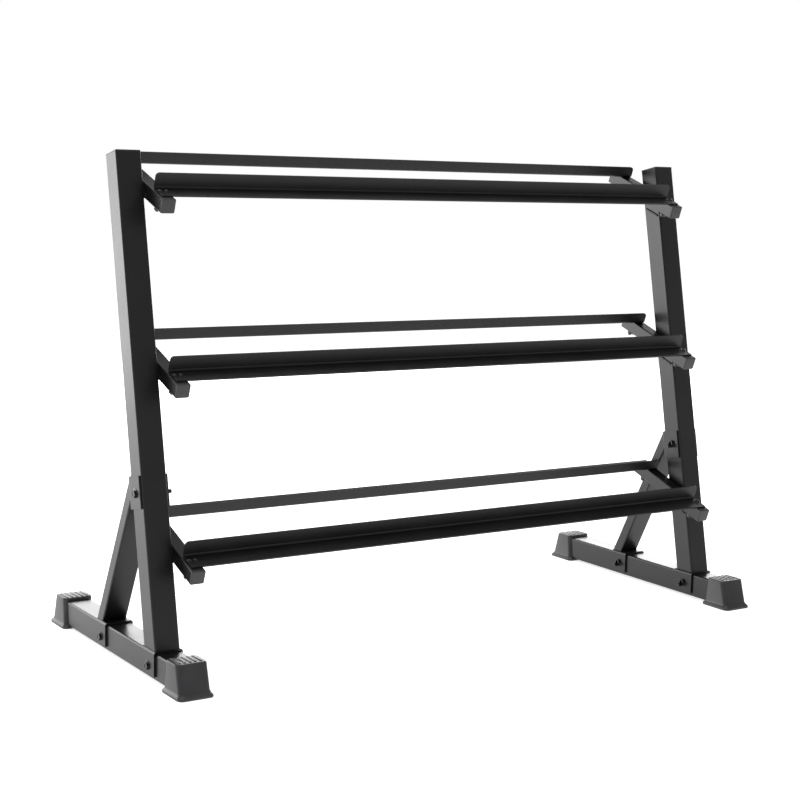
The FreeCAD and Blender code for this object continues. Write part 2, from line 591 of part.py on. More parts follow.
def build_rack():
    """Build both end frames, the rails of every tier and all the fasteners."""
    frame_shank = ("(Sizes.tube_size + 2 * Sizes.plate + 2 * Sizes.frame_washer_height"
                   " + Sizes.frame_nut_height + Sizes.thread_showing)")
    rail_shank = ("(Sizes.rail_thickness + Sizes.arm_height + Sizes.rail_washer_height"
                  " + Sizes.rail_nut_height + Sizes.thread_showing)")
    frame_bolt = join("frame_bolt", [
        make_hexagon("frame_bolt_head", "Sizes.frame_bolt_flats", "Sizes.frame_bolt_head"),
        make_shank("frame_bolt_shank", "Sizes.frame_bolt_radius", frame_shank)])
    frame_washer = make_washer("frame_washer", "Sizes.frame_washer_radius",
                               "Sizes.frame_washer_height", "Sizes.frame_bolt_radius")
    frame_nut = bored("frame_nut", make_hexagon("frame_nut_blank", "Sizes.frame_bolt_flats",
                                                "Sizes.frame_nut_height"), "Sizes.frame_bolt_radius")
    dome = doc.addObject("Part::Ellipsoid", "rail_bolt_dome")
    dome.setExpression("Radius1", "Sizes.rail_bolt_head")
    dome.setExpression("Radius2", "Sizes.rail_bolt_dome")
    dome.Angle1 = 0
    rail_bolt = join("rail_bolt", [dome, make_shank("rail_bolt_shank", "Sizes.rail_bolt_radius", rail_shank)])
    rail_washer = make_washer("rail_washer", "Sizes.rail_washer_radius",
                              "Sizes.rail_washer_height", "Sizes.rail_bolt_radius")
    rail_nut = bored("rail_nut", make_hexagon("rail_nut_blank", "Sizes.rail_nut_flats",
                                              "Sizes.rail_nut_height"), "Sizes.rail_bolt_radius")
    for side_name, side in SIDES.items():
        build_frame(side_name, side)
        build_frame_fasteners(side_name, side, frame_bolt, frame_washer, frame_nut)
    for tier in TIERS:
        for row in ROWS:
            make_rail(f"{tier}_{row}_rail", tier, row)
        build_rail_fasteners(tier, rail_bolt, rail_washer, rail_nut)


def check():
    """Stop if any object failed, any cut removed nothing or any sub-part isn't sound."""
    for item in doc.Objects:
        if "Invalid" in item.State or "Error" in item.State:
            raise RuntimeError(f"{item.Name} failed: {item.State}")
        if item.TypeId == "Sketcher::SketchObject" and item.solve() != 0:
            raise RuntimeError(f"{item.Name} can't be solved")
    for cut in cuts:
        if cut.BaseFeature.Shape.Volume - cut.Shape.Volume < 1.0:
            raise RuntimeError(f"{cut.Name} cuts nothing")
    for node in nodes:
        if node.Shape.isNull() or not node.Shape.isValid() or not node.Shape.Solids:
            raise RuntimeError(f"{node.Label} isn't a sound solid")


def export():
    """Write each sub-part to its own STEP file."""
    os.makedirs("parts", exist_ok=True)
    for node in nodes:
        node.Shape.exportStep(f"parts/{node.Label}.step")


build_rack()
doc.recompute()
check()
export()
print(f"{len(nodes)} sub-parts written")
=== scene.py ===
"""Dumbbell rack: the modelled details, the finishes and the studio around the fixed CAD frame.

The CAD frame gives every place. Sizes here are millimetres, and Blender's are metres.
"""

import logging
import math
from collections.abc import Callable, Iterable
from dataclasses import dataclass
from enum import Enum

import bpy
from mathutils import Matrix, Vector

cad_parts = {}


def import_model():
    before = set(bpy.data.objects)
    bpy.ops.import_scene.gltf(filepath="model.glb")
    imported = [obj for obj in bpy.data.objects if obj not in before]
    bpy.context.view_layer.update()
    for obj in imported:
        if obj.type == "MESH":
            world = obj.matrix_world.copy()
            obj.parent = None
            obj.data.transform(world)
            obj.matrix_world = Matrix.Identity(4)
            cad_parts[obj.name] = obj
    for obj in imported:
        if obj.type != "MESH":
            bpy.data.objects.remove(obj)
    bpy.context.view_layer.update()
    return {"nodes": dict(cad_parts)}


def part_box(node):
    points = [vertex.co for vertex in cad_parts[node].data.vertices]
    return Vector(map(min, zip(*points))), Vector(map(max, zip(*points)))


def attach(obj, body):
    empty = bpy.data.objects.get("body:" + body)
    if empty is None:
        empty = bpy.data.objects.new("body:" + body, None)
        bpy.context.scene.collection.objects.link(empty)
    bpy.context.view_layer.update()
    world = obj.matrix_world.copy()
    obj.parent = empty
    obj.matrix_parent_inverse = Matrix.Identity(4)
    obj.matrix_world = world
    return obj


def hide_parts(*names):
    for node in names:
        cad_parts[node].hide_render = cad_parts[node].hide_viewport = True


MM = 0.001
# Slack in millimetres when a point is matched to a height, and the least length, also in
# millimetres, for an edge to count as running along an axis.
SLACK = 0.01
LEAST_RUN = 0.5
# How squarely a face must look along an axis to count as facing it.
SQUARELY = 0.9
# How far in millimetres a cutter stands clear of the face that it goes in through.
CLEAR = 1.0
LOG = logging.getLogger("dumbbell_rack")


class Side(Enum):
    """The two end frames, each with its direction along the rack."""

    LEFT = -1
    RIGHT = 1

    @property
    def label(self) -> str:
        """Name used in the frame's nodes."""
        return self.name.lower()


class End(Enum):
    """The front and the rear of the rack, each with its direction."""

    FRONT = -1
    REAR = 1

    @property
    def label(self) -> str:
        """Name used in the frame's nodes."""
        return self.name.lower()


class Tier(Enum):
    """The three tiers of rails."""

    BOTTOM = "bottom"
    MIDDLE = "middle"
    TOP = "top"


# ---------------------------------------------------------------------------------------------
# Finishes
# ---------------------------------------------------------------------------------------------


# The stretch of a noise's range over which the colour and the sheen go from one end to the other.
COLOUR_STRETCH = (0.35, 0.65)
SHEEN_STRETCH = (0.3, 0.7)
DRIFT_DETAIL = 3.0
TEXTURE_DETAIL = 2.0
TEXTURE_STRENGTH = 0.6


def linear(code: str) -> tuple[float, float, float, float]:
    """Turn an sRGB hex colour into a linear one.

    Args:
        code: six hex digits.

    Returns:
        Red, green, blue and an alpha of one, for a shader's socket.
    """
    shades = [int(code[place:place + 2], 16) / 255 for place in (0, 2, 4)]
    red, green, blue = [c / 12.92 if c <= 0.04045 else ((c + 0.055) / 1.055) ** 2.4 for c in shades]
    return red, green, blue, 1.0


def add_node(tree: bpy.types.NodeTree, kind: str, settings: dict,
             links: dict | None = None) -> bpy.types.Node:
    """Add a shader node with its settings and its links.

    Args:
        tree: the material's node tree.
        kind: the node's type.
        settings: values for its properties and its unlinked sockets, by name.
        links: output sockets to link to its inputs, by the input's name.

    Returns:
        The new node.
    """
    node = tree.nodes.new(kind)
    for name, value in settings.items():
        if name in node.inputs:
            node.inputs[name].default_value = value
        else:
            setattr(node, name, value)
    for name, socket in (links or {}).items():
        tree.links.new(socket, node.inputs[name])
    return node


def per_metre(size: float) -> float:
    """Turn the real size of a pattern's repeat, in millimetres, into a texture's scale."""
    return 1 / (size * MM)


@dataclass(frozen=True)
class Finish:
    """A coated or moulded surface: a colour that drifts a little, a sheen and a fine texture."""

    name: str
    colour: str
    second_colour: str
    roughness: float
    roughness_drift: float
    index: float
    specular: float
    texture_size: float
    texture_height: float
    drift_size: float
    glow: float = 0.0

    def build(self) -> bpy.types.Material:
        """Make the material.

        Returns:
            The material, with its texture on the object's own coordinates.
        """
        material = bpy.data.materials.new(self.name)
        material.use_nodes = True
        tree = material.node_tree
        tree.nodes.clear()
        place = add_node(tree, "ShaderNodeTexCoord", {}).outputs["Object"]
        drift = add_node(tree, "ShaderNodeTexNoise", {
            "Scale": per_metre(self.drift_size), "Detail": DRIFT_DETAIL,
        }, {"Vector": place}).outputs["Fac"]
        colour = add_node(tree, "ShaderNodeValToRGB", {}, {"Fac": drift})
        stops = zip(colour.color_ramp.elements, COLOUR_STRETCH, (self.colour, self.second_colour))
        for stop, position, code in stops:
            stop.position = position
            stop.color = linear(code)
        sheen = add_node(tree, "ShaderNodeMapRange", {
            "From Min": SHEEN_STRETCH[0], "From Max": SHEEN_STRETCH[1],
            "To Min": self.roughness - self.roughness_drift,
            "To Max": self.roughness + self.roughness_drift,
        }, {"Value": drift})
        grain = add_node(tree, "ShaderNodeTexNoise", {
            "Scale": per_metre(self.texture_size), "Detail": TEXTURE_DETAIL,
        }, {"Vector": place}).outputs["Fac"]
        bump = add_node(tree, "ShaderNodeBump", {
            "Strength": TEXTURE_STRENGTH, "Distance": self.texture_height * MM,
        }, {"Height": grain})
        surface = add_node(tree, "ShaderNodeBsdfPrincipled", {
            "IOR": self.index, "Specular IOR Level": self.specular,
            "Emission Color": linear(self.colour), "Emission Strength": self.glow,
        }, {
            "Base Color": colour.outputs["Color"], "Roughness": sheen.outputs["Result"],
            "Normal": bump.outputs["Normal"],
        })
        add_node(tree, "ShaderNodeOutputMaterial", {}, {"Surface": surface.outputs["BSDF"]})
        return material


# Polyester powder coat, baked on steel: satin black with a faint orange peel. The real peel is
# about 1 mm across and is drawn 3 mm across, so that it shows.
POWDER_COAT = Finish("black_powder_coat", "0b0b0c", "0e0e0f", 0.34, 0.03, 1.5, 0.42, 3.0, 0.02, 120.0)
# The same coat on the rails, a shade duller where hot-rolled steel lies under it.
RAIL_COAT = Finish("black_powder_coat_rail", "0d0d0e", "111112", 0.42, 0.03, 1.5, 0.36, 3.0, 0.03, 90.0)
# Moulded soft PVC: dark grey, matt from a spark-eroded mould. The 0.4 mm grain is drawn 1.5 mm.
MOULDED_PVC = Finish("moulded_pvc", "2b2b2d", "333335", 0.4, 0.05, 1.52, 0.42, 1.5, 0.05, 60.0)
# Injection-moulded polyethylene, a little waxy.
POLYETHYLENE = Finish("moulded_polyethylene", "28282a", "2e2e30", 0.48, 0.04, 1.51, 0.45, 2.0, 0.03, 30.0)
# Black oxide on steel fasteners, oiled, so it is a little glossier than the coat.
BLACK_OXIDE = Finish("black_oxide_steel", "0a0a0b", "101012", 0.3, 0.05, 1.5, 0.5, 1.5, 0.02, 8.0)
# Studio floor: opal acrylic lit from below, so that only a faint shadow shows on it.
STUDIO_FLOOR = Finish("opal_acrylic_floor", "f4f4f4", "f6f6f6", 0.9, 0.02, 1.45, 0.5, 60.0, 0.01, 900.0,
                      glow=0.8)


# ---------------------------------------------------------------------------------------------
# Modelling by hand
# ---------------------------------------------------------------------------------------------


def start_object(add: Callable[..., object], name: str, **options: object) -> bpy.types.Object:
    """Add a primitive with nothing else selected.

    Args:
        add: the operator that adds it.
        name: the new object's name.
        options: the operator's own options, in metres.

    Returns:
        The new object, active and selected.
    """
    bpy.ops.object.select_all(action="DESELECT")
    add(**options)
    piece = bpy.context.active_object
    piece.name = name
    piece.data.name = name
    return piece


def start_block(name: str, low: Vector, high: Vector) -> bpy.types.Object:
    """Add a block between two corners given in millimetres.

    Args:
        name: the new object's name.
        low: its lowest corner.
        high: its highest corner.

    Returns:
        The block, with its size in its mesh.
    """
    piece = start_object(bpy.ops.mesh.primitive_cube_add, name, size=1, location=(low + high) / 2 * MM)
    piece.scale = (high - low) * MM
    bpy.ops.object.transform_apply(location=True, rotation=True, scale=True)
    return piece


def start_cylinder(name: str, sides: int, radius: float, low: float, high: float) -> bpy.types.Object:
    """Add a cylinder or a prism on the Z axis, with its own origin at its middle.

    Args:
        name: the new object's name.
        sides: how many sides it has.
        radius: its radius over the corners, in millimetres.
        low: the height of its lower end, in millimetres.
        high: the height of its upper end, in millimetres.

    Returns:
        The cylinder.
    """
    return start_object(bpy.ops.mesh.primitive_cylinder_add, name, vertices=sides, radius=radius * MM,
                        depth=(high - low) * MM, location=(0, 0, (low + high) / 2 * MM))


def only(piece: bpy.types.Object) -> None:
    """Make a piece the only one selected, and active, in object mode."""
    if bpy.context.mode == "EDIT_MESH":
        leave()
    bpy.ops.object.select_all(action="DESELECT")
    piece.select_set(True)
    bpy.context.view_layer.objects.active = piece


def edit(piece: bpy.types.Object, mode: str, chosen: Callable[[object], bool]) -> None:
    """Go into edit mode with the vertices, edges or faces that a test picks out selected.

    Args:
        piece: the object to edit.
        mode: VERT, EDGE or FACE.
        chosen: a test of one vertex, of an edge's two vertices, or of one face.
    """
    only(piece)
    bpy.ops.object.mode_set(mode="EDIT")
    bpy.ops.mesh.select_mode(type=mode)
    bpy.ops.mesh.select_all(action="DESELECT")
    bpy.ops.object.mode_set(mode="OBJECT")
    mesh = piece.data
    if mode == "VERT":
        for vertex in mesh.vertices:
            vertex.select = chosen(vertex)
    elif mode == "EDGE":
        for line in mesh.edges:
            line.select = chosen([mesh.vertices[index] for index in line.vertices])
    else:
        for face in mesh.polygons:
            face.select = chosen(face)
    bpy.ops.object.mode_set(mode="EDIT")


def leave() -> None:
    """Go back to object mode."""
    bpy.ops.object.mode_set(mode="OBJECT")


def runs_along(axis: int) -> Callable[[list], bool]:
    """Make a test for the edges that run along an axis, counted from X as 0."""
    return lambda ends: abs(ends[0].co[axis] - ends[1].co[axis]) > LEAST_RUN * MM


def lies_at(height: float) -> Callable[[list], bool]:
    """Make a test for the edges that lie at a height, in millimetres above the piece's own origin."""
    return lambda ends: all(abs(end.co.z - height * MM) < SLACK * MM for end in ends)


def is_level(ends: list) -> bool:
    """Whether an edge lies level."""
    return abs(ends[0].co.z - ends[1].co.z) < SLACK * MM


def bevel_edges(piece: bpy.types.Object, width: float, segments: int,
                chosen: Callable[[object], bool]) -> None:
    """Round the edges that a test picks out.

    Args:
        piece: the object to edit.
        width: the bevel's width in millimetres.
        segments: how many facets it has.
        chosen: a test of an edge's two vertices.
    """
    edit(piece, "EDGE", chosen)
    bpy.ops.mesh.bevel(offset=width * MM, segments=segments, affect="EDGES", clamp_overlap=True)
    leave()


def apply_modifier(piece: bpy.types.Object, kind: str, **settings: object) -> None:
    """Add a modifier, set it up and apply it.

    Args:
        piece: the object that gets it.
        kind: the modifier's type.
        settings: its properties.
    """
    only(piece)
    modifier = piece.modifiers.new(kind.lower(), kind)
    for name, value in settings.items():
        setattr(modifier, name, value)
    bpy.ops.object.modifier_apply(modifier=modifier.name)


def cut_out(piece: bpy.types.Object, tool: bpy.types.Object, operation: str = "DIFFERENCE") -> None:
    """Cut a piece with another object, or join that object on, and remove it.

    Args:
        piece: the object that is cut or added to.
        tool: the object that cuts it or joins it.
        operation: DIFFERENCE, INTERSECT or UNION.
    """
    apply_modifier(piece, "BOOLEAN", object=tool, operation=operation, solver="EXACT")
    bpy.data.objects.remove(tool, do_unlink=True)


def tidy(piece: bpy.types.Object, angle: float = 32.0) -> bpy.types.Object:
    """Merge doubles, face the surface outwards and smooth it up to an angle.

    Args:
        piece: a closed mesh.
        angle: edges steeper than this, in degrees, stay sharp.

    Returns:
        The same object.
    """
    edit(piece, "FACE", lambda face: True)
    bpy.ops.mesh.remove_doubles(threshold=0.005 * MM)
    bpy.ops.mesh.normals_make_consistent(inside=False)
    leave()
    bpy.ops.object.shade_smooth_by_angle(angle=math.radians(angle))
    return piece


def copy_to(pattern: bpy.types.Object, places: Iterable[Matrix], name: str) -> bpy.types.Object:
    """Copy a pattern to each place and join the copies.

    A place turns and moves the mesh about the pattern's own origin. Where that origin is away from
    zero, as on a pattern begun with start_cylinder, each copy also keeps that offset, unturned.

    Args:
        pattern: the object to copy.
        places: where the copies go, in metres.
        name: the joined piece's name.

    Returns:
        One object, with its places in its mesh.
    """
    copies = []
    for place in places:
        twin = pattern.copy()
        twin.data = pattern.data.copy()
        twin.data.transform(place)
        if place.determinant() < 0:
            twin.data.flip_normals()
        bpy.context.scene.collection.objects.link(twin)
        copies.append(twin)
    only(copies[0])
    for twin in copies:
        twin.select_set(True)
    if len(copies) > 1:
        bpy.ops.object.join()
    joined = bpy.context.active_object
    joined.name = name
    joined.data.name = name
    return joined


def discard(*patterns: bpy.types.Object) -> None:
    """Remove patterns once their copies are made."""
    for pattern in patterns:
        bpy.data.objects.remove(pattern, do_unlink=True)


def fit_out(piece: bpy.types.Object, material: bpy.types.Material, slot: str, *nodes: str) -> None:
    """Dress a finished piece, fix it to the frame and let it stand for its CAD nodes.

    Args:
        piece: the finished object.
        material: its finish.
        slot: the record's material slot; not used.
        nodes: the CAD nodes that it replaces, if any.
    """
    piece.data.materials.clear()
    piece.data.materials.append(material)
    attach(piece, "root")
    if nodes:
        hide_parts(*nodes)
    LOG.info("%s: %d faces", piece.name, len(piece.data.polygons))


# ---------------------------------------------------------------------------------------------
# The plan
# ---------------------------------------------------------------------------------------------


@dataclass(frozen=True)
class Plan:
    """Where the fastenings and joints lie, from the frame's boxes and the main sections."""

    lean: float = 11.1
    slope: float = 20.0
    tube: float = 50.0
    plate: float = 4.0
    arm_width: float = 28.0
    arm_height: float = 28.0
    arm_front: float = 115.0
    arm_rear: float = 107.5
    upright_length: float = 912.0
    bracket_station: float = 285.0
    rail_thickness: float = 3.0
    rail_bolt_reach: float = 84.0
    rail_bolt_first: float = 9.0
    rail_bolt_spacing: float = 12.0

    def middle(self, node: str) -> Vector:
        """Middle of a CAD node's box, in millimetres."""
        low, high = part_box(node)
        return (low + high) / 2 / MM

    def frame_x(self, side: Side) -> float:
        """Middle of an end frame, along the rack."""
        return self.middle(f"{side.label}_upright").x

    def on_upright(self, side: Side, along: float, behind: float = 0.0) -> Matrix:
        """Place on an upright, its Z along the tube and its Y squarely behind it.

        Args:
            side: which end frame.
            along: distance up the tube's centre line from its foot.
            behind: distance squarely behind that line.

        Returns:
            The place, in metres.
        """
        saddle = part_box(f"{side.label}_upright_saddle")
        foot = Vector((self.frame_x(side), self.middle(f"{side.label}_upright_saddle").y, saddle[1].z / MM))
        turn = Matrix.Rotation(math.radians(-self.lean), 4, "X")
        return Matrix.Translation(foot * MM) @ turn @ Matrix.Translation(Vector((0, behind, along)) * MM)

    def on_arm(self, side: Side, tier: Tier, along: float, above: float) -> Matrix:
        """Place on an arm, its Y up the slope and its Z squarely off the top face.

        Args:
            side: which end frame.
            tier: which arm.
            along: distance up the slope from the upright's centre line.
            above: distance above the arm's top face.

        Returns:
            The place, in metres.
        """
        middle = self.middle(f"{side.label}_{tier.value}_arm")
        turn = Matrix.Rotation(math.radians(self.slope), 4, "X")
        shift = Vector((0, along + (self.arm_front - self.arm_rear) / 2, above + self.arm_height / 2))
        return Matrix.Translation(middle * MM) @ turn @ Matrix.Translation(shift * MM)


# ---------------------------------------------------------------------------------------------
# Sub-assemblies
# ---------------------------------------------------------------------------------------------


@dataclass
class MouldedFeet:
    """Feet moulded over the ends of the base tubes: waisted, ribbed on top, flanged at the floor."""

    plan: Plan
    wall: float = 6.0
    grip: float = 44.0
    clearance: float = 5.0
    heel: float = 6.0
    toe: float = 16.0
    spread: float = 0.5
    corner: float = 10.0
    top_round: float = 2.5
    flange_height: float = 4.5
    flange_toe: float = 4.5
    flange_side: float = 4.0
    flange_round: float = 1.0
    # The flange sweeps up into the walls. What is left of its reach at the middle of the sweep, and
    # of the walls' slope at the sweep's end, is given as a share, with another for the heel.
    sweep: float = 7.0
    middle_share: float = 0.35
    middle_heel_share: float = 0.3
    end_share: float = 0.85
    end_heel_share: float = 0.88
    socket_corner: float = 3.5
    socket_past: float = 40.0
    ribs: int = 5
    rib_width: float = 4.0
    rib_height: float = 1.2
    rib_round: float = 1.0
    rib_root: float = 1.0
    rib_start: float = 2.5
    rib_stop: float = 5.0

    def _resize_face(self, piece: bpy.types.Object, chosen: Callable[[object], bool], half: float,
                     back: float, front: float) -> None:
        """Set the half width and the two ends of the vertices that a test picks out."""
        edit(piece, "VERT", chosen)
        leave()
        for vertex in piece.data.vertices:
            if vertex.select:
                vertex.co.x = math.copysign(half * MM, vertex.co.x)
                vertex.co.y = (back if vertex.co.y > 0 else front) * MM

    def _shell(self) -> bpy.types.Object:
        """Model the shell: five levels drawn in from the floor up, rounded at its upright corners."""
        top = self.clearance + self.plan.tube + self.wall
        half = self.plan.tube / 2 + self.wall
        flange = (self.spread + self.flange_side, self.heel + self.flange_side, self.toe + self.flange_toe)
        levels = [
            (0.0, *flange),
            (self.flange_height, *flange),
            (self.flange_height + self.sweep * self.middle_share,
             self.spread + self.flange_side * self.middle_share,
             self.heel + self.flange_side * self.middle_heel_share,
             self.toe + self.flange_toe * self.middle_share),
            (self.flange_height + self.sweep, self.spread * self.end_share,
             self.heel * self.end_heel_share, self.toe * self.end_share),
            (top, 0.0, 0.0, 0.0),
        ]
        piece = start_block("foot_pattern", Vector((-half, -self.wall, 0)), Vector((half, self.grip, top)))
        edit(piece, "FACE", lambda face: face.normal.z > SQUARELY and face.center.z > top / 2 * MM)
        bpy.ops.mesh.delete(type="FACE")
        self._resize_face(piece, lambda vertex: True, half + flange[0], self.grip + flange[1],
                          -self.wall - flange[2])
        edit(piece, "VERT", lambda vertex: vertex.co.z > top / 2 * MM)
        bpy.ops.transform.translate(value=(0, 0, (self.flange_height - top) * MM))
        leave()
        for height, side, heel, toe in levels[2:]:
            rim = max(vertex.co.z for vertex in piece.data.vertices)
            edit(piece, "EDGE", lies_at(rim / MM))
            bpy.ops.mesh.extrude_region_move(TRANSFORM_OT_translate={"value": (0, 0, height * MM - rim)})
            leave()
            self._resize_face(piece, lambda vertex: vertex.co.z > rim + SLACK * MM, half + side,
                              self.grip + heel, -self.wall - toe)
        edit(piece, "EDGE", lies_at(top))
        bpy.ops.mesh.edge_face_add()
        leave()
        bevel_edges(piece, self.corner, 6, runs_along(2))
        bevel_edges(piece, self.top_round, 4, lies_at(top))
        bevel_edges(piece, self.flange_round, 3, lies_at(self.flange_height))
        return piece

    def _pattern(self) -> bpy.types.Object:
        """Model one foot about the end of its tube, closed towards -Y."""
        piece = self._shell()
        top = self.clearance + self.plan.tube + self.wall
        half = self.plan.tube / 2
        socket = start_block("socket", Vector((-half, 0, self.clearance)),
                             Vector((half, self.grip + self.socket_past, self.clearance + self.plan.tube)))
        bevel_edges(socket, self.socket_corner, 4, runs_along(1))
        cut_out(piece, socket)
        pitch = 2 * (half - self.rib_width) / (self.ribs - 1)
        for number in range(self.ribs):
            across = (number - (self.ribs - 1) / 2) * pitch
            low = Vector((across - self.rib_width / 2, self.rib_start, top - self.rib_root))
            high = Vector((across + self.rib_width / 2, self.grip - self.rib_stop, top + self.rib_height))
            rib = start_block("rib", low, high)
            bevel_edges(rib, self.rib_round, 3, lies_at(top + self.rib_height))
            cut_out(piece, rib, "UNION")
        return tidy(piece)

    def build(self, material: bpy.types.Material) -> None:
        """Model one foot and set a copy over each end of both base tubes."""
        pattern = self._pattern()
        for side in Side:
            for end in End:
                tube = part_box(f"{side.label}_base_tube")
                tip = Vector((self.plan.frame_x(side) * MM, tube[0 if end is End.FRONT else 1].y, 0))
                turn = Matrix.Rotation(0 if end is End.FRONT else math.pi, 4, "Z")
                name = f"{side.label}_{end.label}_foot"
                foot = copy_to(pattern, [Matrix.Translation(tip) @ turn], f"{name}_moulding")
                fit_out(foot, material, "foot_rubber", name)
        discard(pattern)


@dataclass
class TubePlugs:
    """Plugs in the arms' ends and caps on the uprights: a crowned head over a hollow skirt."""

    plan: Plan
    arm_wall: float = 1.8
    tube_wall: float = 2.0
    plug_head: float = 4.0
    cap_head: float = 3.0
    corner: float = 3.0
    edge: float = 1.4
    crown: float = 0.5
    crown_inset: float = 2.5
    rim_band: float = 2.0
    skirt: float = 14.0
    skirt_gap: float = 0.2
    skirt_wall: float = 2.0
    skirt_floor: float = 1.0

    def _pattern(self, name: str, width: float, depth: float, wall: float,
                 head: float) -> bpy.types.Object:
        """Model a plug with its head above its own XY plane and its skirt below it."""
        half = Vector((width, depth, 0)) / 2
        piece = start_block(name, -half, half + Vector((0, 0, head - self.crown)))
        bevel_edges(piece, self.corner, 5, runs_along(2))
        edit(piece, "FACE", lambda face: face.normal.z > SQUARELY)
        bpy.ops.mesh.inset(thickness=self.crown_inset * MM)
        bpy.ops.transform.translate(value=(0, 0, self.crown * MM))
        leave()
        edit(piece, "FACE", lambda face: face.normal.z < -SQUARELY)
        bpy.ops.mesh.inset(thickness=(wall + self.skirt_gap) * MM)
        bpy.ops.mesh.extrude_region_move(TRANSFORM_OT_translate={"value": (0, 0, -self.skirt * MM)})
        bpy.ops.mesh.inset(thickness=self.skirt_wall * MM)
        hollow = self.skirt - self.skirt_floor
        bpy.ops.mesh.extrude_region_move(TRANSFORM_OT_translate={"value": (0, 0, hollow * MM)})
        leave()
        rim = head - self.crown
        bevel_edges(piece, self.edge, 4, lambda ends: self._on_rim(ends, rim, half))
        return tidy(piece)

    def _on_rim(self, ends: list, height: float, half: Vector) -> bool:
        """Whether an edge is on a head's outer rim rather than on its inset face."""
        inner = (half - Vector((self.rim_band, self.rim_band, 0))) * MM
        outside = all(abs(end.co.x) > inner.x or abs(end.co.y) > inner.y for end in ends)
        return outside and lies_at(height)(ends)

    def build(self, material: bpy.types.Material) -> None:
        """Model the plug and the cap and set a copy in every open end."""
        plug = self._pattern("plug_pattern", self.plan.arm_width, self.plan.arm_height, self.arm_wall,
                             self.plug_head)
        cap = self._pattern("cap_pattern", self.plan.tube, self.plan.tube, self.tube_wall, self.cap_head)
        for side in Side:
            top = self.plan.on_upright(side, self.plan.upright_length)
            piece = copy_to(cap, [top], f"{side.label}_cap_moulding")
            fit_out(piece, material, "plug_plastic", f"{side.label}_upright_cap")
            for tier in Tier:
                for end in End:
                    reach = self.plan.arm_rear if end is End.REAR else -self.plan.arm_front
                    turn = Matrix.Rotation(math.radians(90 * -end.value), 4, "X")
                    place = self.plan.on_arm(side, tier, reach, -self.plan.arm_height / 2) @ turn
                    name = f"{side.label}_{tier.value}_{end.label}_plug"
                    fit_out(copy_to(plug, [place], f"{name}_moulding"), material, "plug_plastic", name)
        discard(plug, cap)


@dataclass
class FrameBolts:
    """Hexagon bolts through the saddles and brackets, with a washer on each face and a nut."""

    plan: Plan
    shank: float = 4.0
    flats: float = 13.0
    head: float = 5.3
    nut: float = 6.8
    washer: float = 8.0
    washer_height: float = 1.6
    washer_edge: float = 0.35
    thread_showing: float = 2.5
    # The cylinder that a head or nut is turned to, as a share of its corners' radius, and the
    # nut's chamfer.
    turned_share: float = 1.01
    chamfer: float = 0.9
    dish: float = 4.0
    dish_depth: float = 0.6
    shank_root: float = 1.0
    bore_play: float = 0.15

    def _hexagon(self, name: str, low: float, high: float, chamfered: bool) -> bpy.types.Object:
        """Model a hexagonal head or nut, its corners turned off at the lower face or left sharp."""
        across = self.flats / math.sqrt(3)
        piece = start_cylinder(name, 6, across, low, high)
        turned = start_cylinder("turned", 64, across * self.turned_share, low, high)
        if chamfered:
            bevel_edges(turned, self.chamfer, 2, lambda ends: all(end.co.z < 0 for end in ends))
        cut_out(piece, turned, "INTERSECT")
        return piece

    def _bolt(self) -> bpy.types.Object:
        """Model a bolt along Z: head below, plain shank above."""
        grip = self.plan.tube + 2 * self.plan.plate + 2 * self.washer_height
        length = grip + self.nut + self.thread_showing
        piece = self._hexagon("bolt_pattern", -self.head, 0, chamfered=False)
        dish = start_cylinder("dish", 48, self.dish, -self.head - CLEAR, self.dish_depth - self.head)
        cut_out(piece, dish)
        shank = start_cylinder("shank", 32, self.shank, -self.shank_root, length)
        cut_out(piece, shank, "UNION")
        return tidy(piece)

    def _bored(self, piece: bpy.types.Object, height: float) -> bpy.types.Object:
        """Bore a nut or washer for the shank."""
        cut_out(piece, start_cylinder("bore", 32, self.shank + self.bore_play, -height, 2 * height))
        return tidy(piece)

    def _washer(self) -> bpy.types.Object:
        """Model a flat washer with its punched edge broken."""
        piece = start_cylinder("washer_pattern", 64, self.washer, 0, self.washer_height)
        bevel_edges(piece, self.washer_edge, 2, is_level)
        return self._bored(piece, self.washer_height)

    def build(self, material: bpy.types.Material) -> None:
        """Model the fasteners and set them in both end frames."""
        bolt = self._bolt()
        washer = self._washer()
        nut = self._bored(self._hexagon("nut_pattern", 0, self.nut, chamfered=True), self.nut)
        half = self.plan.tube / 2 + self.plan.plate
        for side in Side:
            x = self.plan.frame_x(side)
            centres = [self.plan.middle(f"{side.label}_upright_saddle"),
                       self.plan.middle(f"{side.label}_brace_saddle"),
                       self.plan.on_upright(side, self.plan.bracket_station).translation / MM]
            base = self.plan.middle(f"{side.label}_base_tube").z
            centres[0].z = base
            centres[1].z = base
            inward = Matrix.Rotation(-side.value * math.pi / 2, 4, "Y")
            outward = Matrix.Rotation(side.value * math.pi / 2, 4, "Y")
            bolts, washers, nuts = [], [], []
            for centre in centres:
                def at(off: float) -> Matrix:
                    """Place on the bolt's axis, off the frame's middle away from the rack's middle."""
                    return Matrix.Translation(Vector((x + side.value * off, centre.y, centre.z)) * MM)
                bolts.append(at(half + self.washer_height) @ inward)
                washers += [at(half) @ outward, at(-half) @ inward]
                nuts.append(at(-half - self.washer_height) @ inward)
            sets = ((bolt, bolts, "bolts"), (washer, washers, "washers"), (nut, nuts, "nuts"))
            for pattern, places, kind in sets:
                piece = copy_to(pattern, places, f"{side.label}_frame_{kind}_turned")
                fit_out(piece, material, "fastener_black", f"{side.label}_frame_{kind}")
        discard(bolt, washer, nut)


